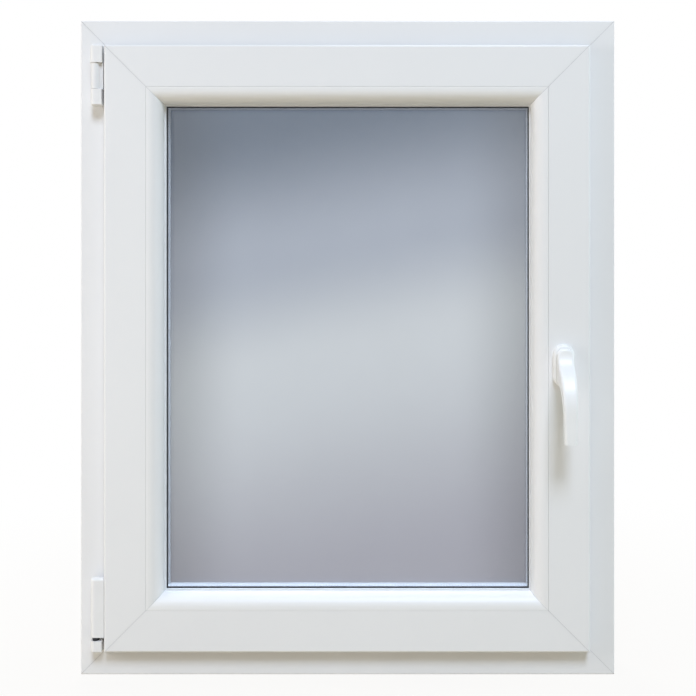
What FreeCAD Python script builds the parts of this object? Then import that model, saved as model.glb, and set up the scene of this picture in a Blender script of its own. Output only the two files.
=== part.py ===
"""Tilt and turn window: a white frame and one sash, hung on the left and opened with a lever on the right.

X runs along the width, Y from the room to the outside, Z up. The origin is the middle of the face that stands
on the sill. Lengths are in millimetres. In a section, u is the distance in from the frame's outer edge.
"""
import FreeCAD, Part
import os
import Sketcher
from types import SimpleNamespace
from FreeCAD import Placement, Rotation, Vector

# Driving sizes
SIZES = [
    ("frame_width", 735, "frame, overall"),
    ("frame_height", 900, "frame, overall"),
    ("frame_depth", 70, "frame, room face to outer face"),
    ("frame_rise", 45, "frame rail, outer edge to rebate"),
    ("stop_rise", 22, "outer stop above the rebate"),
    ("stop_depth", 18, "outer stop, along the depth"),
    ("rain_slope", 5, "fall of the outer edges of stop and sash"),
    ("channel_width", 8, "anchor channels in the frame's back"),
    ("channel_depth", 3, "anchor channels in the frame's back"),
    ("channel_spacing", 44, "between the two anchor channels"),
    ("sash_cover", 8, "sash lip over the frame"),
    ("rebate_gap", 12, "between frame and sash edge"),
    ("sash_proud", 18, "sash face before the frame face"),
    ("lip_gap", 6.7, "sash lip to frame face"),
    ("sash_depth", 65, "sash, along the depth"),
    ("sash_face", 57, "flat face of the sash rails"),
    ("slot_width", 16, "fittings slot in the sash edge"),
    ("slot_depth", 14, "fittings slot in the sash edge"),
    ("slot_setback", 33, "sash face to the slot's middle"),
    ("bead_width", 21, "glazing bead, across"),
    ("bead_joint", 0.2, "joint between bead and sash"),
    ("bead_flat", 3, "bead left plain beside its quarter round"),
    ("glass_recess", 24, "sash face to glass"),
    ("glass_cover", 16, "glass edge inside the bead"),
    ("pane_thickness", 4, "each pane"),
    ("cavity", 16, "between the panes"),
    ("edge_seal_height", 10.8, "sealant around the spacer"),
    ("spacer_height", 8.5, "spacer bar"),
    ("glazing_seal", 3, "seals on both sides of the glass"),
    ("seal_lip", 2, "glazing seals beyond the bead"),
    ("seal_width", 4, "lip seal and stop seal"),
    ("lip_seal_clear", 2.6, "lip seal to frame face"),
    ("stop_seal_clear", 0.6, "stop seal to sash"),
    ("weld_groove", 0.5, "groove beside each welded corner"),
    ("hinge_in", 24.5, "hinge line, in from the frame's edge"),
    ("hinge_out", 10.8, "hinge line, out from the frame face"),
    ("barrel_radius", 6.3, "hinge barrels"),
    ("cap_radius", 7.2, "upper hinge cap"),
    ("cover_wall", 1.3, "plastic cover around the stay knuckle"),
    ("cover_gap", 2.4, "hinge cap and cover to the sash edge"),
    ("cover_setback", 4.2, "flank of the cover behind its barrel"),
    ("bearing_gap", 3.2, "hinge bearings to the sash edge"),
    ("pin_radius", 3, "upper hinge pin"),
    ("hinge_gap", 0.4, "between hinge barrels"),
    ("running_fit", 0.08, "pin in knuckle, radial"),
    ("cap_drop", 35.5, "upper hinge top, below the frame's top"),
    ("cap_height", 25.5, "upper hinge cap"),
    ("knuckle_height", 36, "stay knuckle"),
    ("bearing_height", 21, "upper hinge lower bearing"),
    ("cup_base", 37, "lower bearing, foot"),
    ("cup_height", 15, "lower bearing"),
    ("ball_height", 54, "middle of the ball, above the sill"),
    ("ball_radius", 4.8, "lower pivot ball"),
    ("stem_radius", 2.6, "lower pivot stem"),
    ("ball_clear", 0.3, "ball in its seats"),
    ("band_base", 57, "band barrel, foot"),
    ("band_height", 80, "band barrel"),
    ("strap_thickness", 2.5, "steel straps and plates"),
    ("strap_clear", 2, "straps off the frame face"),
    ("arm_reach", 280, "hinge line to slider"),
    ("arm_width", 18, "stay arm"),
    ("arm_thickness", 4, "stay arm"),
    ("slider_drop", 11, "slider pin below the sash edge"),
    ("slider_radius", 4, "slider pin"),
    ("cam_radius", 5, "locking pins"),
    ("cam_height", 6, "locking pins, out of the edge"),
    ("cam_inset", 160, "locking pins, in from the sash corners"),
    ("strike_length", 64, "strike plates"),
    ("fixing_spacing", 600, "between the fixing holes of a jamb"),
    ("fixing_radius", 3.75, "fixing holes"),
    ("drain_spacing", 440, "between the drain caps"),
    ("drain_length", 42, "drain caps"),
    ("drain_height", 11, "drain caps"),
    ("drain_depth", 5, "drain caps"),
    ("handle_in", 74.2, "handle axis, in from the frame's edge"),
    ("handle_height", 427, "handle axis, above the sill"),
    ("rosette_width", 28, "rosette"),
    ("rosette_height", 58, "rosette"),
    ("rosette_depth", 10, "rosette"),
    ("collar_radius", 8, "round collar of the lever in the rosette"),
    ("collar_depth", 4, "round collar of the lever in the rosette"),
    ("lever_width", 23, "lever at its root"),
    ("lever_tip_width", 15.7, "lever at its tip"),
    ("lever_top", 24, "lever above its axis"),
    ("lever_root_low", 22, "lever root below its axis"),
    ("lever_length", 99, "axis to tip"),
    ("lever_out", 55, "lever front, out from the sash"),
    ("lever_thickness", 12, "lever, along the depth"),
]


class Size:
    """A length together with the sheet expression that gives it."""

    def __init__(self, text, value):
        self.text = text
        self.value = value

    def join(self, sign, other, value):
        return Size(f"({self.text} {sign} {other.text})", value)

    def __add__(self, other):
        other = as_size(other)
        return self.join("+", other, self.value + other.value)

    def __sub__(self, other):
        other = as_size(other)
        return self.join("-", other, self.value - other.value)

    def __mul__(self, factor):
        return self.join("*", as_size(factor), self.value * factor)

    def __truediv__(self, factor):
        return self.join("/", as_size(factor), self.value / factor)

    def __neg__(self):
        return Size(f"(0 - {self.text})", -self.value)


def as_size(number):
    """A plain number as a length."""
    if isinstance(number, Size):
        return number
    return Size(repr(number), number)


# The sheet that holds the driving sizes
doc = FreeCAD.newDocument("Window")
sheet = doc.addObject("Spreadsheet::Sheet", "Dims")
for row, (name, value, note) in enumerate(SIZES, start=1):
    sheet.set(f"A{row}", name)
    sheet.set(f"B{row}", str(value))
    sheet.setAlias(f"B{row}", name)
    sheet.set(f"C{row}", note)
doc.recompute()
d = SimpleNamespace(**{name: Size(f"Dims.{name}", value) for name, value, note in SIZES})

# Depths, from the frame's middle towards the outside
half_width = d.frame_width / 2
face = -d.frame_depth / 2
outside = d.frame_depth / 2
stop_front = outside - d.stop_depth
sash_front = face - d.sash_proud
lip_back = face - d.lip_gap
sash_back = sash_front + d.sash_depth
glass_front = sash_front + d.glass_recess
cavity_front = glass_front + d.pane_thickness
cavity_back = cavity_front + d.cavity
glass_back = cavity_back + d.pane_thickness
bead_back = glass_front - d.glazing_seal
leg_front = glass_back + d.glazing_seal
slot_mid = sash_front + d.slot_setback
slot_front = slot_mid - d.slot_width / 2
slot_back = slot_mid + d.slot_width / 2

# Distances in from the frame's outer edge
stop_u = d.frame_rise + d.stop_rise
sash_u = d.frame_rise - d.sash_cover
edge_u = d.frame_rise + d.rebate_gap
slot_floor = edge_u + d.slot_depth
bead_u = sash_u + d.sash_face
sight_u = bead_u + d.bead_width
glass_u = sight_u - d.glass_cover
spacer_u = glass_u + d.edge_seal_height
cavity_u = spacer_u + d.spacer_height

# The hinge line
hinge_x = d.hinge_in - half_width
hinge_y = face - d.hinge_out


def bind(thing, **properties):
    """Tie properties to the sheet; a dot in a property's name is written as two underscores."""
    for name, length in properties.items():
        thing.setExpression(name.replace("__", "."), as_size(length).text)


def move(thing, x, y, z, rotation=Rotation()):
    """Place an object at lengths that stay tied to the sheet."""
    corner = [as_size(length) for length in (x, y, z)]
    thing.Placement = Placement(Vector(*[length.value for length in corner]), rotation)
    bind(thing, Placement__Base__x=x, Placement__Base__y=y, Placement__Base__z=z)
    return thing


# Primitives and booleans
def box(low, high):
    """A box between two corners."""
    thing = doc.addObject("Part::Box", "Box")
    spans = [as_size(b) - as_size(a) for a, b in zip(low, high)]
    bind(thing, Length=spans[0], Width=spans[1], Height=spans[2])
    return move(thing, *low)


ROUND_AXES = {"x": Rotation(Vector(0, 1, 0), 90), "y": Rotation(Vector(1, 0, 0), -90), "z": Rotation()}


def cylinder(x, y, z, radius, length, along="z"):
    """A cylinder that starts at a point and runs along one axis."""
    thing = doc.addObject("Part::Cylinder", "Cylinder")
    bind(thing, Radius=radius, Height=length)
    return move(thing, x, y, z, ROUND_AXES[along])


def sphere(x, y, z, radius):
    """A ball."""
    thing = doc.addObject("Part::Sphere", "Sphere")
    bind(thing, Radius=radius)
    return move(thing, x, y, z)


def fuse(*pieces):
    """Join pieces into one solid."""
    thing = doc.addObject("Part::MultiFuse", "Fuse")
    thing.Shapes = list(pieces)
    thing.Refine = True
    return thing


def cut(base, *tools):
    """Take tools away from a piece."""
    for tool in tools:
        thing = doc.addObject("Part::Cut", "Cut")
        thing.Base = base
        thing.Tool = tool
        thing.Refine = True
        base = thing
    return base


def group(*pieces):
    """Like pieces that are kept as one node."""
    thing = doc.addObject("Part::Compound", "Group")
    thing.Links = list(pieces)
    return thing


def soften(base, radius, chosen):
    """Round the edges for which chosen(edge) holds."""
    doc.recompute()
    thing = doc.addObject("Part::Fillet", "Fillet")
    thing.Base = base
    length = as_size(radius).value
    edges = [number for number, edge in enumerate(base.Shape.Edges, start=1) if chosen(edge)]
    thing.Edges = [(number, length, length) for number in edges]
    return thing


def level(z):
    """Choose the edges that lie at one height."""
    return lambda edge: all(abs(v.Z - z.value) < 1e-4 for v in edge.Vertexes)


def depth(y):
    """Choose the edges that lie at one depth."""
    return lambda edge: all(abs(v.Y - y.value) < 1e-4 for v in edge.Vertexes)


# Sketched bodies
def new_body():
    """An empty sketched body."""
    return doc.addObject("PartDesign::Body", "Body")


def sketch_on(body, role):
    """An empty sketch on one of a body's own planes."""
    sketch = body.newObject("Sketcher::SketchObject", "Sketch")
    plane = next(item for item in body.Origin.OriginFeatures if item.Role == role)
    sketch.AttachmentSupport = [(plane, "")]
    sketch.MapMode = "FlatFace"
    return sketch


def pin_point(sketch, geometry, place, point):
    """Hold one point of a sketch at lengths from its origin."""
    for kind, length in zip(("DistanceX", "DistanceY"), point):
        length = as_size(length)
        index = sketch.addConstraint(Sketcher.Constraint(kind, -1, 1, geometry, place, float(length.value)))
        sketch.setExpression(f"Constraints[{index}]", length.text)


def draw_polygon(sketch, points):
    """A closed outline with every corner tied to the sheet."""
    corners = [Vector(as_size(a).value, as_size(b).value, 0) for a, b in points]
    first = sketch.GeometryCount
    count = len(points)
    for index in range(count):
        sketch.addGeometry(Part.LineSegment(corners[index], corners[(index + 1) % count]), False)
    for index in range(count):
        after = first + (index + 1) % count
        sketch.addConstraint(Sketcher.Constraint("Coincident", first + index, 2, after, 1))
    for index, point in enumerate(points):
        pin_point(sketch, first + index, 1, point)


def draw_circle(sketch, point, radius):
    """A circle with its middle and radius tied to the sheet."""
    middle = Vector(as_size(point[0]).value, as_size(point[1]).value, 0)
    number = sketch.addGeometry(Part.Circle(middle, Vector(0, 0, 1), radius.value), False)
    pin_point(sketch, number, 3, point)
    index = sketch.addConstraint(Sketcher.Constraint("Radius", number, radius.value))
    sketch.setExpression(f"Constraints[{index}]", radius.text)


def pad(body, sketch, length):
    """Extrude a sketch to both sides of its plane."""
    feature = body.newObject("PartDesign::Pad", "Pad")
    feature.Profile = sketch
    feature.SideType = "Symmetric"
    bind(feature, Length=length)
    doc.recompute()
    return feature


def pocket(body, sketch, deep=None):
    """Cut a sketch right through the body, to both sides of its plane, or to a depth behind its plane."""
    before = body.Shape.Volume
    feature = body.newObject("PartDesign::Pocket", "Pocket")
    feature.Profile = sketch
    if deep is None:
        feature.Type = "ThroughAll"
        feature.SideType = "Symmetric"
    else:
        bind(feature, Length=deep)
    doc.recompute()
    if body.Shape.Volume >= before:
        raise ValueError("a pocket cuts nothing")
    return feature


def dress(body, kind, property_name, length, chosen):
    """Round or chamfer the edges of a body for which chosen(edge) holds."""
    base = body.Tip
    edges = [f"Edge{number}" for number, edge in enumerate(base.Shape.Edges, start=1) if chosen(edge)]
    if not edges:
        raise ValueError("no edge to dress")
    feature = body.newObject(f"PartDesign::{kind}", kind)
    feature.Base = (base, edges)
    bind(feature, **{property_name: length})
    doc.recompute()
    return feature


def along_rail(y, u):
    """Choose the edges that run along a rail at one point of its section."""
    def chosen(edge):
        return all(abs(v.Y - y.value) < 1e-4 and abs(v.Z - u.value) < 1e-4 for v in edge.Vertexes)
    return chosen


# Rails: a section along the full span, cut to 45 degrees from the frame's outer corners
SIDES = {
    "bottom": (d.frame_width, 0, as_size(0), as_size(0)),
    "top": (d.frame_width, 180, as_size(0), d.frame_height),
    "hinge": (d.frame_height, 90, -half_width, d.frame_height / 2),
    "lock": (d.frame_height, -90, half_width, d.frame_height / 2),
}


def rail(side, section, rounds, front=None, holes=None):
    """One mitred rail. rounds lists (depth, u, radius); front is the depth that shows the welded corners."""
    span, angle, x, z = SIDES[side]
    body = new_body()
    outline = sketch_on(body, "YZ_Plane")
    draw_polygon(outline, section)
    pad(body, outline, span)
    for y, u, radius in rounds:
        dress(body, "Fillet", "Radius", radius, along_rail(y, u))
    ends = sketch_on(body, "XZ_Plane")
    reach = sight_u + d.bead_width
    spare = d.sash_cover
    for sign in (1, -1):
        outer = (span / 2 + spare) * sign
        inner = (span / 2 - reach) * sign
        draw_polygon(ends, [(outer, -spare), (outer, reach), (inner, reach)])
    pocket(body, ends)
    if front is not None:
        groove = sketch_on(body, "XZ_Plane")
        groove.setExpression("AttachmentOffset.Base.z", (-front).text)
        for sign in (1, -1):
            outer = (span / 2 + spare) * sign
            inner = (span / 2 - reach) * sign
            side_step = d.weld_groove * sign
            draw_polygon(groove, [
                (outer, -spare), (inner, reach), (inner - side_step, reach), (outer - side_step, -spare)])
        pocket(body, groove, d.weld_groove)
    if holes is not None:
        drill = sketch_on(body, "XY_Plane")
        for sign in (1, -1):
            draw_circle(drill, (holes / 2 * sign, as_size(0)), d.fixing_radius)
        pocket(body, drill)
    return move(body, x, as_size(0), z, Rotation(Vector(0, 1, 0), angle))


def ring(u_out, u_in, y_front, y_back):
    """A seal or bar that runs all the way round, with a plain section."""
    outer = box((u_out - half_width, y_front, u_out), (half_width - u_out, y_back, d.frame_height - u_out))
    inner = box((u_in - half_width, y_front, u_in), (half_width - u_in, y_back, d.frame_height - u_in))
    return cut(outer, inner)


def pane(y_front):
    """One sheet of glass."""
    low = (glass_u - half_width, y_front, glass_u)
    high = (half_width - glass_u, y_front + d.pane_thickness, d.frame_height - glass_u)
    return box(low, high)


nodes = {}

# Frame rails
channel_edges = []
for sign in (1, -1):
    middle = d.channel_spacing / 2 * sign
    channel_edges.append([middle + d.channel_width / 2, middle - d.channel_width / 2])
frame_section = [
    (face, as_size(0)), (face, d.frame_rise), (stop_front, d.frame_rise), (stop_front, stop_u),
    (outside, stop_u - d.rain_slope), (outside, as_size(0)),
]
for far, near in channel_edges:
    frame_section += [(far, as_size(0)), (far, d.channel_depth), (near, d.channel_depth), (near, as_size(0))]
frame_rounds = [(face, as_size(0), d.weld_groove * 3), (face, d.frame_rise, d.weld_groove * 4)]
for side in SIDES:
    holes = d.fixing_spacing if side in ("hinge", "lock") else None
    nodes[f"frame_{side}_rail"] = rail(side, frame_section, frame_rounds, face, holes)
stop_seal_u = (edge_u + stop_u) / 2
nodes["frame_seal"] = ring(
    stop_seal_u - d.seal_width / 2, stop_seal_u + d.seal_width / 2, sash_back + d.stop_seal_clear, stop_front)

# Sash rails
sash_section = [
    (sash_front, sash_u), (sash_front, bead_u), (leg_front, bead_u), (leg_front, sight_u),
    (sash_back, sight_u - d.rain_slope), (sash_back, edge_u),
    (slot_back, edge_u), (slot_back, slot_floor), (slot_front, slot_floor), (slot_front, edge_u),
    (lip_back, edge_u), (lip_back, sash_u),
]
sash_rounds = [(sash_front, sash_u, d.weld_groove * 6), (sash_front, bead_u, d.weld_groove / 2)]
for side in SIDES:
    nodes[f"sash_{side}_rail"] = rail(side, sash_section, sash_rounds, sash_front)

# Glazing beads, each a quarter round
bead_out = bead_u + d.bead_joint
bead_radius = d.bead_width - d.bead_flat
bead_section = [(sash_front, bead_out), (sash_front, sight_u), (bead_back, sight_u), (bead_back, bead_out)]
bead_rounds = [(sash_front, sight_u, bead_radius), (sash_front, bead_out, d.bead_joint)]
for side in SIDES:
    nodes[f"bead_{side}"] = rail(side, bead_section, bead_rounds)

# Sealed glazing unit and its seals
nodes["inner_pane"] = pane(glass_front)
nodes["outer_pane"] = pane(cavity_back)
nodes["edge_seal"] = ring(glass_u, spacer_u, cavity_front, cavity_back)
nodes["spacer_bar"] = ring(spacer_u, cavity_u, cavity_front, cavity_back)
seal_in = sight_u + d.seal_lip
nodes["inner_glazing_seal"] = ring(glass_u, seal_in, bead_back, glass_front)
nodes["outer_glazing_seal"] = ring(glass_u, seal_in, glass_back, leg_front)

# Upper hinge: bearing on the frame, stay knuckle and cap above it, one pin through all
strap_back = face - d.strap_clear
strap_front = strap_back - d.strap_thickness
cap_top = d.frame_height - d.cap_drop
cap_base = cap_top - d.cap_height
knuckle_base = cap_base - d.knuckle_height
bearing_base = knuckle_base - d.bearing_height
pin_length = cap_top - bearing_base - d.pin_radius * 2
pin_base = bearing_base + d.pin_radius


sash_x = sash_u - half_width


def pin_hole():
    """The hole for the upper hinge pin."""
    return cylinder(hinge_x, hinge_y, pin_base, d.pin_radius + d.running_fit, pin_length)


def side_block(base, height, end_x, radius, setback=0):
    """A barrel with a flank that runs from it to the sash side."""
    barrel = cylinder(hinge_x, hinge_y, base, radius, height)
    flank = box((hinge_x, hinge_y - radius + setback, base), (end_x, lip_back, base + height))
    return fuse(barrel, flank)


def hinge_block(base, height):
    """A bearing: a barrel with a flank beside it and a foot on the frame face."""
    barrel = side_block(base, height, sash_x - d.bearing_gap, d.barrel_radius)
    foot = box(
        (hinge_x - d.barrel_radius, hinge_y, base), (hinge_x + d.barrel_radius, face, base + height))
    return fuse(barrel, foot)


cap = side_block(cap_base, d.cap_height, sash_x - d.cover_gap, d.cap_radius)
cap = soften(cap, d.cap_radius * 0.6, level(cap_top))
nodes["top_hinge_cap"] = cut(cap, pin_hole())
nodes["top_hinge_bearing"] = cut(hinge_block(bearing_base, d.bearing_height), pin_hole())
nodes["top_hinge_pin"] = cylinder(hinge_x, hinge_y, pin_base, d.pin_radius, pin_length)

# Stay: knuckle in its cover, strap behind the sash lip, riser in the side gap, arm over the sash, slider
edge_x = edge_u - half_width
rebate_x = d.frame_rise - half_width
riser_x = (edge_x + rebate_x) / 2 - d.strap_thickness / 2
sash_top = d.frame_height - edge_u
arm_base = sash_top + (d.rebate_gap - d.arm_thickness) / 2
arm_top = arm_base + d.arm_thickness
arm_front = slot_mid - d.arm_width / 2
arm_back = slot_mid + d.arm_width / 2
slider_x = hinge_x + d.arm_reach
strap_base = knuckle_base + d.strap_thickness * 2
knuckle_low = knuckle_base + d.hinge_gap
knuckle_rise = d.knuckle_height - d.hinge_gap * 2
knuckle_radius = d.barrel_radius - d.cover_wall
knuckle = cylinder(hinge_x, hinge_y, knuckle_low, knuckle_radius, knuckle_rise)
sleeve = side_block(knuckle_low, knuckle_rise, sash_x - d.cover_gap, d.barrel_radius, d.cover_setback)
riser_end = riser_x + d.strap_thickness
strap = box((hinge_x, strap_front, strap_base), (riser_end, strap_back, cap_base - d.strap_thickness))
riser = box((riser_x, strap_front, strap_base + d.strap_thickness), (riser_end, arm_back, arm_top))
arm = box((riser_x, arm_front, arm_base), (slider_x + d.arm_width / 2, arm_back, arm_top))
nodes["stay_arm"] = cut(fuse(knuckle, strap, riser, arm), pin_hole())
core = cylinder(hinge_x, hinge_y, knuckle_low, knuckle_radius, knuckle_rise)
nodes["stay_cover"] = cut(sleeve, core, strap)
nodes["stay_slider"] = cylinder(
    slider_x, slot_mid, sash_top - d.slider_drop, d.slider_radius, arm_base - sash_top + d.slider_drop)

# Lower hinge: bearing on the frame, ball that turns in it, band on the sash
cup_top = d.cup_base + d.cup_height
stem_base = d.cup_base + d.stem_radius
seat = d.ball_radius + d.ball_clear
nodes["bottom_hinge_bearing"] = cut(
    soften(hinge_block(d.cup_base, d.cup_height), d.stem_radius / 2, level(d.cup_base)),
    sphere(hinge_x, hinge_y, d.ball_height, seat),
    cylinder(hinge_x, hinge_y, stem_base - d.ball_clear, d.stem_radius + d.running_fit, d.cup_height))
nodes["bottom_hinge_ball"] = fuse(
    sphere(hinge_x, hinge_y, d.ball_height, d.ball_radius),
    cylinder(hinge_x, hinge_y, stem_base, d.stem_radius, d.ball_height - stem_base))
band_top = d.band_base + d.band_height
leaf_base = d.band_base + d.barrel_radius * 2
leaf_top = band_top - d.barrel_radius
leaf_x = edge_x - d.strap_thickness
band_body = side_block(d.band_base, d.band_height, sash_x, d.barrel_radius)
band_body = soften(band_body, d.barrel_radius / 2, level(band_top))
band_strap = box((hinge_x, strap_front, leaf_base), (edge_x, strap_back, leaf_top))
band_leaf = box((leaf_x, strap_front, leaf_base), (edge_x, slot_front, leaf_top))
nodes["bottom_hinge_band"] = cut(
    fuse(band_body, band_strap, band_leaf), sphere(hinge_x, hinge_y, d.ball_height, seat))

# Lip seal, notched where the straps pass
lip_seal_u = d.frame_rise
lip_seal = ring(lip_seal_u - d.seal_width, lip_seal_u, lip_back, face - d.lip_seal_clear)
notches = []
for low, high in ((strap_base, cap_base), (leaf_base, leaf_top)):
    notches.append(box(
        (sash_x, lip_back, low - d.strap_thickness), (edge_x, face, high + d.strap_thickness)))
nodes["sash_seal"] = cut(lip_seal, *notches)

# Faceplates flush with the sash edge, locking pins on them, strike plates across the gap
lock_edge = half_width - edge_u
lock_rebate = half_width - d.frame_rise
plate = d.strap_thickness
low_cam = edge_u + d.cam_inset
high_cam = d.frame_height - edge_u - d.cam_inset
side_cam = half_width - edge_u - d.cam_inset
plate_start = slider_x + d.arm_width * 2
plate_end = half_width - slot_floor
plate_top = d.frame_height - slot_floor
nodes["faceplates"] = group(
    box((lock_edge - plate, slot_front, slot_floor), (lock_edge, slot_back, plate_top)),
    box((plate_start, slot_front, sash_top - plate), (plate_end, slot_back, sash_top)),
    box((plate_start, slot_front, edge_u), (plate_end, slot_back, edge_u + plate)))
nodes["locking_pins"] = group(
    cylinder(lock_edge, slot_mid, low_cam, d.cam_radius, d.cam_height, "x"),
    cylinder(lock_edge, slot_mid, high_cam, d.cam_radius, d.cam_height, "x"),
    cylinder(side_cam, slot_mid, sash_top, d.cam_radius, d.cam_height),
    cylinder(side_cam, slot_mid, edge_u - d.cam_height, d.cam_radius, d.cam_height))
half_strike = d.strike_length / 2
frame_top = d.frame_height - d.frame_rise
strikes = []
for cam in (low_cam, high_cam):
    low = (lock_rebate - plate, slot_front, cam - half_strike)
    strikes.append(box(low, (lock_rebate, slot_back, cam + half_strike)))
for base in (d.frame_rise, frame_top - plate):
    low = (side_cam - half_strike, slot_front, base)
    strikes.append(box(low, (side_cam + half_strike, slot_back, base + plate)))
nodes["strike_plates"] = group(*strikes)

# Drain caps on the outer face of the bottom rail
caps = []
for sign in (1, -1):
    middle = d.drain_spacing / 2 * sign
    start = middle - d.drain_length / 2
    cap_front = outside + d.drain_depth
    cap = box((start, outside, d.drain_height), (start + d.drain_length, cap_front, d.drain_height * 2))
    caps.append(soften(cap, d.drain_depth / 2, depth(cap_front)))
nodes["drain_caps"] = group(*caps)

# Handle: rosette with round ends on the sash, lever in front of it
handle_x = half_width - d.handle_in
rosette_front = sash_front - d.rosette_depth
rosette_radius = d.rosette_width / 2
rosette_reach = d.rosette_height / 2 - rosette_radius
rosette_parts = [box(
    (handle_x - rosette_radius, rosette_front, d.handle_height - rosette_reach),
    (handle_x + rosette_radius, sash_front, d.handle_height + rosette_reach))]
for sign in (1, -1):
    end = d.handle_height + rosette_reach * sign
    rosette_parts.append(cylinder(handle_x, rosette_front, end, rosette_radius, d.rosette_depth, "y"))
rosette = soften(fuse(*rosette_parts), d.rosette_depth / 3, depth(rosette_front))
hole_radius = d.collar_radius + d.running_fit
hole_depth = d.collar_depth + d.hinge_gap
collar_hole = cylinder(handle_x, rosette_front, d.handle_height, hole_radius, hole_depth, "y")
nodes["handle_rosette"] = cut(rosette, collar_hole)

lever_back = rosette_front - d.hinge_gap
lever_front = sash_front - d.lever_out
grip_back = lever_front + d.lever_thickness
root_front = lever_back - d.lever_thickness * 0.75
root_bend = d.lever_top / 3
arch_bend = -d.lever_root_low - d.lever_thickness / 3
grip_bend = -d.lever_root_low - d.lever_thickness * 1.5
half_lever = d.lever_width / 2
half_tip = d.lever_tip_width / 2
lever = new_body()
profile = sketch_on(lever, "YZ_Plane")
draw_polygon(profile, [
    (lever_back, d.lever_top), (root_front, d.lever_top), (root_front, root_bend), (lever_front, arch_bend),
    (lever_front, -d.lever_length), (grip_back, -d.lever_length), (grip_back, grip_bend),
    (lever_back - d.lever_thickness / 4, -d.lever_root_low), (lever_back, -d.lever_root_low),
])
pad(lever, profile, d.lever_width)
dress(lever, "Fillet", "Radius", d.lever_thickness * 2.5, along_rail(root_front, root_bend))
dress(lever, "Fillet", "Radius", d.lever_thickness * 6, along_rail(lever_front, arch_bend))
dress(lever, "Fillet", "Radius", d.lever_thickness * 3, along_rail(grip_back, grip_bend))
taper = sketch_on(lever, "XZ_Plane")
for sign in (1, -1):
    wide = half_lever * sign
    narrow = half_tip * sign
    draw_polygon(taper, [(wide, d.lever_top), (wide, -d.lever_length), (narrow, -d.lever_length)])
pocket(lever, taper)


def runs(edge):
    """How far an edge runs along X, Y and Z."""
    first, last = edge.Vertexes[0].Point, edge.Vertexes[-1].Point
    return [abs(step) for step in (last - first)]


def root_corner(edge):
    """Choose the two edges along the depth at the lever's top corners."""
    at_top = all(abs(v.Z - d.lever_top.value) < 1e-4 for v in edge.Vertexes)
    return at_top and runs(edge)[1] > 1


def lever_rim(edge):
    """Choose the edges around the lever's sides, but not those on the rosette or across the lever."""
    x_run, y_run, z_run = runs(edge)
    seated = all(abs(v.Y - lever_back.value) < 1e-3 for v in edge.Vertexes)
    across = x_run > half_tip.value and y_run + z_run < 1e-3
    straight_back = x_run + z_run < 1e-3
    return not (seated or across or straight_back)


dress(lever, "Fillet", "Radius", d.lever_width * 0.45, root_corner)
dress(lever, "Fillet", "Radius", d.lever_thickness * 0.3, lever_rim)
move(lever, handle_x, as_size(0), d.handle_height)
collar_start = lever_back - d.collar_depth
collar = cylinder(handle_x, collar_start, d.handle_height, d.collar_radius, d.collar_depth * 2, "y")
nodes["handle_lever"] = fuse(lever, collar)

# Every piece is checked and written under its own name
doc.recompute()
for thing in doc.Objects:
    if "Invalid" in thing.State or "Error" in thing.State:
        raise ValueError(f"{thing.Name} is not built")
os.makedirs("parts", exist_ok=True)
for label, thing in nodes.items():
    thing.Label = label
    if thing.Shape.isNull() or not thing.Shape.isValid():
        raise ValueError(f"{label} is not a valid solid")
    thing.Shape.exportStep(f"parts/{label}.step")
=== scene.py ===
import math

import bmesh
import bpy
from mathutils import Matrix, Vector


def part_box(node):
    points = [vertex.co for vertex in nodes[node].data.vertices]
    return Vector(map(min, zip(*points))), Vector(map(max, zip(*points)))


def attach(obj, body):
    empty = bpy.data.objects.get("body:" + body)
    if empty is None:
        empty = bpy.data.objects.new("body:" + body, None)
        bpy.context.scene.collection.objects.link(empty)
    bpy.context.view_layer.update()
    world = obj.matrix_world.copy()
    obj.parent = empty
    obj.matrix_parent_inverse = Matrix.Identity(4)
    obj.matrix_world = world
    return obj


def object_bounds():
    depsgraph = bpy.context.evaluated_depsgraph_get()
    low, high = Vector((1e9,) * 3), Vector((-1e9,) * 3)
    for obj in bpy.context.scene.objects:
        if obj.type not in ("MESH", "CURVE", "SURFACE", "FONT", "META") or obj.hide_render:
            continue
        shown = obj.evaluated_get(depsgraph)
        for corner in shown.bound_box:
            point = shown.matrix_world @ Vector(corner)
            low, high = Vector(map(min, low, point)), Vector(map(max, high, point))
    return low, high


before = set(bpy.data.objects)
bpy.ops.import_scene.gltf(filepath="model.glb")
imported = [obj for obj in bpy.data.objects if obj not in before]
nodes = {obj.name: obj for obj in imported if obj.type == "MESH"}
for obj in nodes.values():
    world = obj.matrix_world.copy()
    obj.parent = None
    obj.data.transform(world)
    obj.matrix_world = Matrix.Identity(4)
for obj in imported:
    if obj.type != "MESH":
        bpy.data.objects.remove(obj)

cad_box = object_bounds()
box_low, box_high = cad_box
MM = 0.001
WHITE = (1, 1, 1, 1)
BLACK = (0, 0, 0, 1)

# Along which axis a piece is extruded or brushed: noise is drawn out along it.
LONG_X = (0.02, 1, 1)
LONG_Z = (1, 1, 0.02)
EVEN = (1, 1, 1)

# Most of a noise's values lie between these two.
NOISE_LOW = 0.3
NOISE_HIGH = 0.7

# Weld groove across a mitred corner, painted grey as the shade that falls in it.
SEAM_HALF = 0.4 * MM
SEAM_SHADE_GREY = (0.64, 0.64, 0.65, 1)

# Roughness of the white plastics: on rails, on beads, and how far it wanders.
RAIL_SHEEN = 0.3
BEAD_SHEEN = 0.44
SHEEN_STEP = 0.015

# Spacer bar between the panes: seal at its sides, slots along its face, painted black as the shade inside
# them.
BUTYL = 1.5 * MM
SLOT_PITCH = 2 * MM
SLOT_ROW = 3 * MM
SLOT_HALF = 0.4 * MM
SLOT_DEPTH = 0.2 * MM
BAR_GREY = (0.58, 0.61, 0.65)
BUTYL_AND_SLOT_SHADE_BLACK = (0.015, 0.016, 0.02)
BAR_METAL = 0.1
BAR_ROUGH = 0.2
BAR_GRAIN = 0.2
BUTYL_ROUGHER = 0.3


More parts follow.
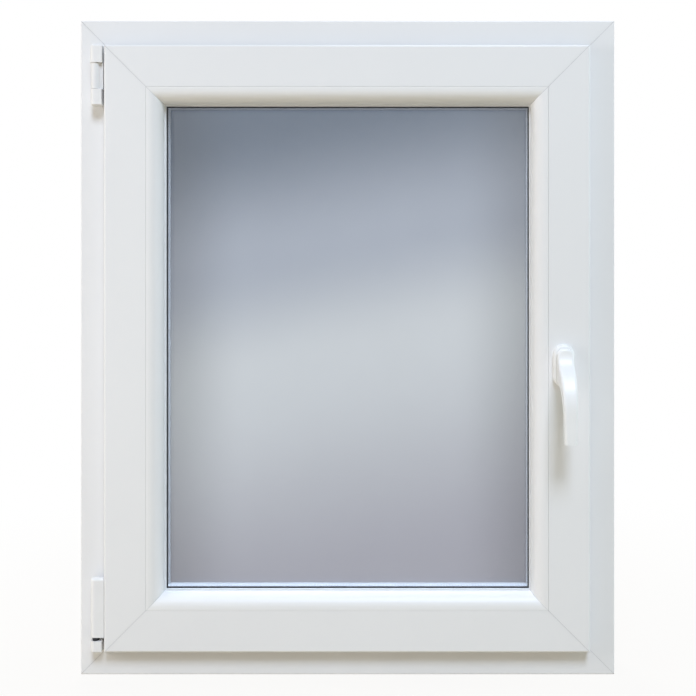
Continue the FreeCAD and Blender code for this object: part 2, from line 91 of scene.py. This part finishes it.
def socket_name(word):
    """A socket's name as Blender writes it."""
    return word.replace("_", " ").title().replace("Ior", "IOR")


class Look:
    """A procedural material: one Principled shader, with noise for its colour, gloss and bump."""

    def __init__(self, name, **sockets):
        self.material = bpy.data.materials.new(name)
        self.material.use_nodes = True
        self.tree = self.material.node_tree
        self.shader = self.tree.nodes["Principled BSDF"]
        self.place = self.node("ShaderNodeTexCoord").outputs["Object"]
        for word, value in sockets.items():
            self.shader.inputs[socket_name(word)].default_value = value

    def node(self, kind, links=None, **values):
        """A node with some sockets linked and others set."""
        made = self.tree.nodes.new(kind)
        for word, value in values.items():
            made.inputs[socket_name(word)].default_value = value
        for socket, source in (links or {}).items():
            self.tree.links.new(source, made.inputs[socket])
        return made

    def feed(self, source, socket):
        """Links a source to the shader."""
        self.tree.links.new(source, self.shader.inputs[socket])

    def mix(self, share, other):
        """Lets another shader take a share of the surface."""
        made = self.node("ShaderNodeMixShader", {0: share, 1: self.shader.outputs[0], 2: other})
        self.tree.links.new(made.outputs[0], self.tree.nodes["Material Output"].inputs["Surface"])

    def math(self, operation, *terms):
        """A sum of numbers and sources."""
        made = self.tree.nodes.new("ShaderNodeMath")
        made.operation = operation
        for socket, term in zip(made.inputs, terms):
            if isinstance(term, (int, float)):
                socket.default_value = term
            else:
                self.tree.links.new(term, socket)
        return made.outputs[0]

    def vector(self, operation, source, other=None):
        """A vector sum of a source and a fixed vector."""
        made = self.node("ShaderNodeVectorMath", {0: source})
        made.operation = operation
        if other is not None:
            made.inputs[1].default_value = other
        return made

    def axes(self):
        """The place on the object, as X, Y and Z."""
        return self.node("ShaderNodeSeparateXYZ", {0: self.place}).outputs

    def noise(self, scale, stretch=EVEN, detail=3.0):
        """Noise with so many cells to a metre."""
        placed = self.node("ShaderNodeMapping", {"Vector": self.place}, scale=stretch)
        made = self.node("ShaderNodeTexNoise", {"Vector": placed.outputs[0]}, scale=scale, detail=detail)
        return made.outputs["Fac"]

    def spread(self, source, start, end, low, high, smooth=False):
        """Runs from low to high while the source runs from start to end."""
        made = self.node("ShaderNodeMapRange", {"Value": source}, from_min=start, from_max=end,
                         to_min=low, to_max=high)
        if smooth:
            made.interpolation_type = "SMOOTHSTEP"
        return made.outputs[0]

    def tint(self, source, first, second, lines=None):
        """Colour that runs from the first tone to the second as the source rises, with painted grey shade
        along lines.
        """
        ramp = self.node("ShaderNodeValToRGB", {"Fac": source})
        for stop, height, tone in zip(ramp.color_ramp.elements, (NOISE_LOW, NOISE_HIGH), (first, second)):
            stop.position = height
            stop.color = (*tone, 1)
        colour = ramp.outputs["Color"]
        if lines is not None:
            both = self.tree.nodes.new("ShaderNodeMix")
            both.data_type = "RGBA"
            both.inputs["B"].default_value = SEAM_SHADE_GREY
            self.tree.links.new(lines, both.inputs["Factor"])
            self.tree.links.new(colour, both.inputs["A"])
            colour = both.outputs["Result"]
        self.feed(colour, "Base Color")

    def gloss(self, source, low, high):
        """Roughness that wanders between low and high."""
        self.feed(self.spread(source, NOISE_LOW, NOISE_HIGH, low, high), "Roughness")

    def bump(self, source, height, strength):
        """Fine relief of a given height."""
        made = self.node("ShaderNodeBump", {"Height": source}, distance=height, strength=strength)
        self.feed(made.outputs["Normal"], "Normal")

    def mitre(self):
        """One on the welded corner joints, which run in at 45 degrees from the frame's corners; there the
        plastic is painted grey as the shade in the weld groove.
        """
        at = self.axes()
        inset = self.math("SUBTRACT", box_high.x, self.math("ABSOLUTE", at["X"]))
        rise = self.math("MINIMUM", at["Z"], self.math("SUBTRACT", box_high.z, at["Z"]))
        return self.math("COMPARE", inset, rise, SEAM_HALF)

    def pool(self, middle, reach):
        """A soft oval pool: one in the middle, falling to zero at its reach."""
        moved = self.vector("SUBTRACT", self.place, middle)
        scaled = self.vector("DIVIDE", moved.outputs[0], reach)
        far = self.vector("LENGTH", scaled.outputs[0])
        return self.spread(far.outputs["Value"], 0, 1, 1, 0, smooth=True)


def plastic(name, first, second, stretch, sheen):
    """White window plastic: faint lines along the extrusion, a little orange peel, an even sheen, and painted
    grey shade in the corner weld grooves.
    """
    look = Look(name, specular_ior_level=0.5)
    look.tint(look.noise(scale=3, detail=2), first, second, look.mitre())
    look.gloss(look.noise(scale=80, stretch=stretch, detail=1), sheen - SHEEN_STEP, sheen + SHEEN_STEP)
    look.bump(look.noise(scale=600, detail=1), height=0.002 * MM, strength=0.5)
    return look.material


def plastic_both_ways(name, first, second, sheen):
    """The same plastic for rails that lie and for rails that stand."""
    return {LONG_X: plastic(name + "_x", first, second, LONG_X, sheen),
            LONG_Z: plastic(name + "_z", first, second, LONG_Z, sheen)}


def paint(name, first, second, low, high):
    """Smooth sprayed or moulded white, with a fine orange peel."""
    look = Look(name, coat_weight=0.1, coat_roughness=0.25)
    look.tint(look.noise(scale=35), first, second)
    look.gloss(look.noise(scale=260), low, high)
    look.bump(look.noise(scale=900, detail=1), height=0.003 * MM, strength=0.5)
    return look.material


def rubber(name, first, second):
    """Soft gasket: matt and finely grained."""
    look = Look(name, specular_ior_level=0.35)
    look.tint(look.noise(scale=60), first, second)
    look.gloss(look.noise(scale=300), low=0.5, high=0.68)
    look.bump(look.noise(scale=1500), height=0.03 * MM, strength=0.6)
    return look.material


def steel(name, first, second, low, high, stretch):
    """Plated metal with a slightly uneven film, brushed along the way it is stretched."""
    look = Look(name, metallic=1.0)
    look.tint(look.noise(scale=45, detail=5), first, second)
    look.gloss(look.noise(scale=700, stretch=stretch), low, high)
    look.bump(look.noise(scale=1200, stretch=stretch), height=0.02 * MM, strength=0.5)
    return look.material


def spacer_bar(name):
    """Aluminium bar with two rows of slots painted black as the shade inside them, and a black seal where it
    meets the panes.
    """
    low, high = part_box("spacer_bar")
    look = Look(name)
    at = look.axes()
    off = look.math("ABSOLUTE", look.math("SUBTRACT", at["Y"], (low.y + high.y) / 2))
    sealed = look.math("GREATER_THAN", off, (high.y - low.y) / 2 - BUTYL)
    beat = look.math("PINGPONG", look.math("ADD", at["X"], at["Z"]), SLOT_PITCH)
    row = look.math("COMPARE", off, SLOT_ROW, SLOT_HALF)
    slot = look.math("MULTIPLY", look.math("LESS_THAN", beat, SLOT_PITCH / 2), row)
    # Black for the butyl seal, which is black itself, and painted shade in the slots.
    black = look.math("MAXIMUM", sealed, slot)
    look.tint(black, BAR_GREY, BUTYL_AND_SLOT_SHADE_BLACK)
    look.feed(look.math("MULTIPLY_ADD", black, -BAR_METAL, BAR_METAL), "Metallic")
    grain = look.math("MULTIPLY_ADD", look.noise(scale=600), BAR_GRAIN, BAR_ROUGH)
    look.feed(look.math("MULTIPLY_ADD", black, BUTYL_ROUGHER, grain), "Roughness")
    look.bump(look.math("SUBTRACT", 1, slot), SLOT_DEPTH, strength=0.5)
    return look.material


def glazing(name):
    """Clear float glass with a cool, slightly uneven tint. Lamps shine through it unbent."""
    look = Look(name, transmission_weight=1.0, ior=1.5, roughness=0.0)
    look.tint(look.noise(scale=5), first=(0.885, 0.9, 0.905), second=(0.9, 0.915, 0.92))
    lamps = look.node("ShaderNodeLightPath").outputs["Is Shadow Ray"]
    through = look.node("ShaderNodeBsdfTransparent", color=(0.95, 0.96, 0.97, 1))
    look.mix(lamps, through.outputs[0])
    return look.material


frame_white = plastic_both_ways("frame_white", (0.83, 0.83, 0.828), (0.855, 0.855, 0.852), RAIL_SHEEN)
sash_white = plastic_both_ways("sash_white", (0.835, 0.835, 0.832), (0.86, 0.86, 0.856), RAIL_SHEEN)
bead_white = plastic_both_ways("bead_white", (0.84, 0.838, 0.828), (0.865, 0.862, 0.852), BEAD_SHEEN)
gasket = rubber("gasket", (0.46, 0.47, 0.48), (0.54, 0.55, 0.56))
pale_gasket = rubber("glazing_gasket", (0.7, 0.71, 0.72), (0.77, 0.78, 0.79))
sealant = rubber("edge_sealant", (0.012, 0.012, 0.013), (0.03, 0.03, 0.032))
spacer = spacer_bar("spacer_aluminium")
# Near black steel for the bottom hinge ball, as painted shade in the gap between band and bearing.
gap_shade_steel = steel("black_steel_gap_shade", (0.02, 0.02, 0.022), (0.05, 0.05, 0.054), low=0.35, high=0.5, stretch=EVEN)
fitting = steel("zinc_plate", (0.52, 0.53, 0.55), (0.64, 0.65, 0.67), low=0.24, high=0.42, stretch=LONG_Z)
cover_white = paint("hinge_white", (0.82, 0.82, 0.815), (0.85, 0.85, 0.845), low=0.3, high=0.4)
handle_white = paint("handle_white", (0.885, 0.89, 0.88), (0.91, 0.915, 0.905), low=0.34, high=0.42)
clear_glass = glazing("clear_glass")


def dress(names, material):
    """Gives CAD nodes a material through their objects' slots."""
    for name in names:
        for slot in nodes[name].material_slots:
            slot.link = "OBJECT"
            slot.material = material


for way, sides in ((LONG_X, ("bottom", "top")), (LONG_Z, ("hinge", "lock"))):
    dress(["frame_" + side + "_rail" for side in sides], frame_white[way])
    dress(["sash_" + side + "_rail" for side in sides], sash_white[way])
    dress(["bead_" + side for side in sides], bead_white[way])
dress(["drain_caps"], frame_white[LONG_X])
dress(["frame_seal", "sash_seal"], gasket)
dress(["inner_glazing_seal", "outer_glazing_seal"], pale_gasket)
dress(["edge_seal"], sealant)
dress(["spacer_bar"], spacer)
dress(["inner_pane", "outer_pane"], clear_glass)
dress(["strike_plates", "faceplates", "locking_pins", "stay_arm", "stay_slider", "top_hinge_pin"], fitting)
# The hinge ball is painted near black as the shade in the hinge gap.
dress(["bottom_hinge_ball"], gap_shade_steel)
dress(["top_hinge_cap", "stay_cover", "top_hinge_bearing"], cover_white)
dress(["bottom_hinge_bearing", "bottom_hinge_band"], cover_white)
dress(["handle_rosette", "handle_lever"], handle_white)

# Screws: heads with a cross, in the faceplates and the strike plates.
HEAD_RADIUS = 3.2 * MM
HEAD_RISE = 0.35 * MM
HEAD_SINK = 1.2 * MM
HEAD_CHAMFER = 0.25 * MM
HEAD_SIDES = 32
CROSS_HALF = 2 * MM
CROSS_WALL = 0.45 * MM
CROSS_ARMS = 4


def loop(bm, points, place, turn):
    """A closed row of points, moved to its place."""
    return [bm.verts.new(place + turn @ Vector(point)) for point in points]


def band(bm, first, second):
    """Four-sided faces between two rows of points."""
    for i in range(len(first)):
        j = (i + 1) % len(first)
        bm.faces.new((first[i], first[j], second[j], second[i]))


def circle(radius, height):
    """Points round a screw's axis."""
    steps = [2 * math.pi * i / HEAD_SIDES for i in range(HEAD_SIDES)]
    return [(radius * math.cos(a), radius * math.sin(a), height) for a in steps]


def cross(height):
    """A plus sign of four equal arms."""
    arm = [(CROSS_HALF, -CROSS_WALL), (CROSS_HALF, CROSS_WALL), (CROSS_WALL, CROSS_WALL)]
    points = []
    for i in range(CROSS_ARMS):
        spin = Matrix.Rotation(2 * math.pi * i / CROSS_ARMS, 2)
        points += [(*(spin @ Vector(point)), height) for point in arm]
    return points


def screw_head(bm, place, facing):
    """A round head with a chamfered rim and a cross sunk into it."""
    turn = Vector(facing).to_track_quat("Z", "Y").to_matrix()
    foot = loop(bm, circle(HEAD_RADIUS, -HEAD_SINK), place, turn)
    shoulder = loop(bm, circle(HEAD_RADIUS, HEAD_RISE - HEAD_CHAMFER), place, turn)
    rim = loop(bm, circle(HEAD_RADIUS - HEAD_CHAMFER, HEAD_RISE), place, turn)
    mouth = loop(bm, cross(HEAD_RISE), place, turn)
    cross_floor = loop(bm, cross(HEAD_RISE - HEAD_SINK), place, turn)
    bm.faces.new(list(reversed(foot)))
    band(bm, foot, shoulder)
    band(bm, shoulder, rim)
    edges = []
    for row in (rim, mouth):
        edges += [bm.edges.get((row[i - 1], row[i])) or bm.edges.new((row[i - 1], row[i]))
                  for i in range(len(row))]
    bmesh.ops.triangle_fill(bm, edges=edges, use_beauty=True, normal=turn @ Vector((0, 0, 1)))
    band(bm, cross_floor, mouth)
    bm.faces.new(cross_floor)


def screws(name, places, body):
    """One set of screw heads, which rides on a body."""
    bm = bmesh.new()
    for place, facing in places:
        screw_head(bm, Vector(place), facing)
    bmesh.ops.recalc_face_normals(bm, faces=bm.faces)
    mesh = bpy.data.meshes.new(name)
    bm.to_mesh(mesh)
    bm.free()
    mesh.materials.append(fitting)
    made = bpy.data.objects.new(name, mesh)
    bpy.context.scene.collection.objects.link(made)
    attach(made, body)


# Faceplate screws sit at shares of the plate's length, strike screws on both sides of a locking pin.
PLATE_SHARES = (0.05, 0.34, 0.66, 0.9)
PIN_INSET = 160 * MM
STRIKE_SCREW = 22 * MM
STRIKE_PLATE = 2.5 * MM
RIGHT, LEFT, UP, DOWN = (1, 0, 0), (-1, 0, 0), (0, 0, 1), (0, 0, -1)
plate_low, plate_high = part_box("faceplates")
plate_y = (plate_low.y + plate_high.y) / 2
faceplate_places = []
for share in PLATE_SHARES:
    x = plate_low.x + share * (plate_high.x - plate_low.x)
    z = plate_low.z + share * (plate_high.z - plate_low.z)
    faceplate_places.append(((plate_high.x, plate_y, z), RIGHT))
    faceplate_places.append(((x, plate_y, plate_high.z), UP))
    faceplate_places.append(((x, plate_y, plate_low.z), DOWN))
screws("faceplate_screws", faceplate_places, "sash")
strike_low, strike_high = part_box("strike_plates")
strike_places = []
for step in (-STRIKE_SCREW, STRIKE_SCREW):
    x = plate_high.x - PIN_INSET + step
    for z in (plate_low.z + PIN_INSET, plate_high.z - PIN_INSET):
        strike_places.append(((strike_high.x - STRIKE_PLATE, plate_y, z + step), LEFT))
    strike_places.append(((x, plate_y, strike_high.z - STRIKE_PLATE), DOWN))
    strike_places.append(((x, plate_y, strike_low.z + STRIKE_PLATE), UP))
screws("strike_screws", strike_places, "frame")


def plane(name, middle, across, up):
    """A rectangle on the stage, with half its width across and half its height up."""
    mesh = bpy.data.meshes.new(name)
    corners = [middle + a * across + b * up for a, b in ((-1, -1), (1, -1), (1, 1), (-1, 1))]
    mesh.from_pydata(corners, [], [(0, 1, 2, 3)])
    made = bpy.data.objects.new(name, mesh)
    bpy.context.scene.collection.objects.link(made)
    return made


def seen_directly(tree):
    """One for camera, mirror and glass rays, zero for the rays that light the object."""
    path = tree.nodes.new("ShaderNodeLightPath")
    total = path.outputs["Is Camera Ray"]
    for ray in ("Is Glossy Ray", "Is Transmission Ray"):
        most = tree.nodes.new("ShaderNodeMath")
        most.operation = "MAXIMUM"
        tree.links.new(total, most.inputs[0])
        tree.links.new(path.outputs[ray], most.inputs[1])
        total = most.outputs[0]
    return total


# The floor, white where it is seen directly, with the object's shadow on it.
FLOOR_REACH = 6.0
FLOOR_DROP = 0.5 * MM
FLOOR_SHADE = 0.1
FLOOR_POOL = (1.3, 1.3, 1)
FLOOR_TONES = ((0.58, 0.49, 0.35), (0.6, 0.51, 0.37))
floor = plane("floor", Vector((0, 0, -FLOOR_DROP)), Vector((FLOOR_REACH, 0, 0)), Vector((0, FLOOR_REACH, 0)))
floor_look = Look("floor_pale", roughness=0.9)
floor_look.tint(floor_look.noise(scale=2), *FLOOR_TONES)
floor_white = floor_look.node("ShaderNodeEmission", color=WHITE, strength=1.0)
near = floor_look.math("MULTIPLY", floor_look.pool((0, 0, 0), FLOOR_POOL), FLOOR_SHADE)
shown = floor_look.math("MULTIPLY", seen_directly(floor_look.tree), floor_look.math("SUBTRACT", 1, near))
floor_look.mix(shown, floor_white.outputs[0])
floor.data.materials.append(floor_look.material)

# A grey card behind the window, seen only through the glass and only from the room. It is not lit by the
# lamps: it glows with painted shade and painted light.
CARD_IN = 4 * MM
CARD_GAP = 1 * MM

# The card's painted tone: stops of height and colour, in bands that lean. It is dark at the top as a painted
# shadow of the frame's top, brightest in a painted band of light a little below the middle, darker again
# towards the bottom, and fading to painted shade at the sides.
PAINTED_BAND_LEAN = -0.2
CARD_PAINTED_SHADE_TONES = (
    (0.1, 0.38, 0.375, 0.445),
    (0.44, 0.66, 0.69, 0.735),
    (0.6, 0.41, 0.45, 0.545),
    (0.8, 0.1, 0.14, 0.21),
)
SIDE_SHADE_START = 0.15
SIDE_SHADE_END = 0.29
SIDE_SHADE_LEVEL = 0.55
card_middle = Vector(((box_low.x + box_high.x) / 2, box_high.y + CARD_GAP, (box_low.z + box_high.z) / 2))
card = plane("backdrop_painted_shade_card", card_middle, Vector(((box_high.x - box_low.x) / 2 - CARD_IN, 0, 0)),
             Vector((0, 0, (box_high.z - box_low.z) / 2 - CARD_IN)))
painted_card_look = Look("card_painted_shade", base_color=BLACK, roughness=1.0, specular_ior_level=0.0)
card_at = painted_card_look.axes()
card_height = painted_card_look.math("MULTIPLY_ADD", card_at["X"], PAINTED_BAND_LEAN, card_at["Z"])
painted_shade_ramp = painted_card_look.node("ShaderNodeValToRGB", {"Fac": card_height})
painted_shade_ramp.color_ramp.interpolation = "EASE"
painted_shade_stops = painted_shade_ramp.color_ramp.elements
for height, *tone in CARD_PAINTED_SHADE_TONES[1:-1]:
    painted_shade_stops.new(height)
for stop, (height, *tone) in zip(painted_shade_stops, CARD_PAINTED_SHADE_TONES):
    stop.position = height
    stop.color = (*tone, 1)
# Painted shade and light: the ramp's tones glow as emission, not as a lit surface.
painted_card_look.feed(painted_shade_ramp.outputs["Color"], "Emission Color")
# Painted shade: the glow dims towards the sides of the window, next to the frame.
aside = painted_card_look.math("ABSOLUTE", card_at["X"])
painted_card_look.feed(painted_card_look.spread(aside, SIDE_SHADE_START, SIDE_SHADE_END, 1, SIDE_SHADE_LEVEL, smooth=True), "Emission Strength")
back = painted_card_look.node("ShaderNodeNewGeometry").outputs["Backfacing"]
through_glass = painted_card_look.node("ShaderNodeLightPath").outputs["Is Transmission Ray"]
unseen = painted_card_look.math("MAXIMUM", back, painted_card_look.math("SUBTRACT", 1, through_glass))
painted_card_look.mix(unseen, painted_card_look.node("ShaderNodeBsdfTransparent").outputs[0])
card.data.materials.append(painted_card_look.material)

# World: white where it is seen, a soft even light elsewhere.
AMBIENT = 0.2
AMBIENT_TINT = (1, 0.88, 0.65, 1)
world = bpy.data.worlds.new("studio")
world.use_nodes = True
bpy.context.scene.world = world
sky = world.node_tree
soft = sky.nodes["Background"]
soft.inputs["Color"].default_value = AMBIENT_TINT
soft.inputs["Strength"].default_value = AMBIENT
seen_sky = sky.nodes.new("ShaderNodeBackground")
seen_sky.inputs["Color"].default_value = WHITE
seen_sky.inputs["Strength"].default_value = 1.0
blend = sky.nodes.new("ShaderNodeMixShader")
sky.links.new(seen_directly(sky), blend.inputs[0])
sky.links.new(soft.outputs[0], blend.inputs[1])
sky.links.new(seen_sky.outputs[0], blend.inputs[2])
sky.links.new(blend.outputs[0], sky.nodes["World Output"].inputs["Surface"])

# Lamps: places and edges in metres, all turned to the middle of the window.
CENTRE = Vector((0, 0, 0.45))


def lamp(name, place, edge, watts, colour, mirrored=False):
    """A square softbox. Unless it is mirrored, it leaves no image of itself in the glass."""
    light = bpy.data.lights.new(name, "AREA")
    light.shape = "SQUARE"
    light.size = edge
    light.energy = watts
    light.color = colour
    made = bpy.data.objects.new(name, light)
    made.location = place
    made.visible_glossy = mirrored
    made.visible_transmission = mirrored
    made.rotation_euler = (CENTRE - Vector(place)).to_track_quat("-Z", "Y").to_euler()
    bpy.context.scene.collection.objects.link(made)


lamp("key", place=(0.78, -4.55, 5.95), edge=2.2, watts=412, colour=(0.685, 0.785, 0.96), mirrored=True)
lamp("fill_left", place=(-2.4, -0.75, 0.8), edge=1.0, watts=26, colour=(0.98, 0.96, 0.97))
lamp("fill_right", place=(2.4, -0.8, 0.9), edge=1.0, watts=6, colour=(0.4, 0.85, 1))
lamp("side_right", place=(2.4, 0.5, 1.0), edge=1.0, watts=16, colour=(0.85, 0.88, 1))
lamp("behind", place=(-1.0, 2.6, 2.2), edge=1.4, watts=71, colour=(0.8, 0.88, 1))

# Camera: straight on, a little right of and above the middle, framed by a small shift.
PICTURE = 696
PER_PIXEL = 1.377 * MM
FACE = -35 * MM
REACH = 1.25
SENSOR = 36.0
EYE_X, EYE_Y = 385, 285
MIDDLE_X, MIDDLE_Y = 347.6, 347.7
view = bpy.data.cameras.new("view")
view.sensor_width = SENSOR
view.lens = REACH / PER_PIXEL / PICTURE * SENSOR
view.shift_x = (PICTURE / 2 - EYE_X) / PICTURE
view.shift_y = (EYE_Y - PICTURE / 2) / PICTURE
camera = bpy.data.objects.new("view", view)
camera.location = ((EYE_X - MIDDLE_X) * PER_PIXEL, FACE - REACH,
                   CENTRE.z + (MIDDLE_Y - EYE_Y) * PER_PIXEL)
camera.rotation_euler = (math.pi / 2, 0, 0)
bpy.context.scene.collection.objects.link(camera)
bpy.context.scene.camera = camera
bpy.context.scene.view_settings.view_transform = "Standard"
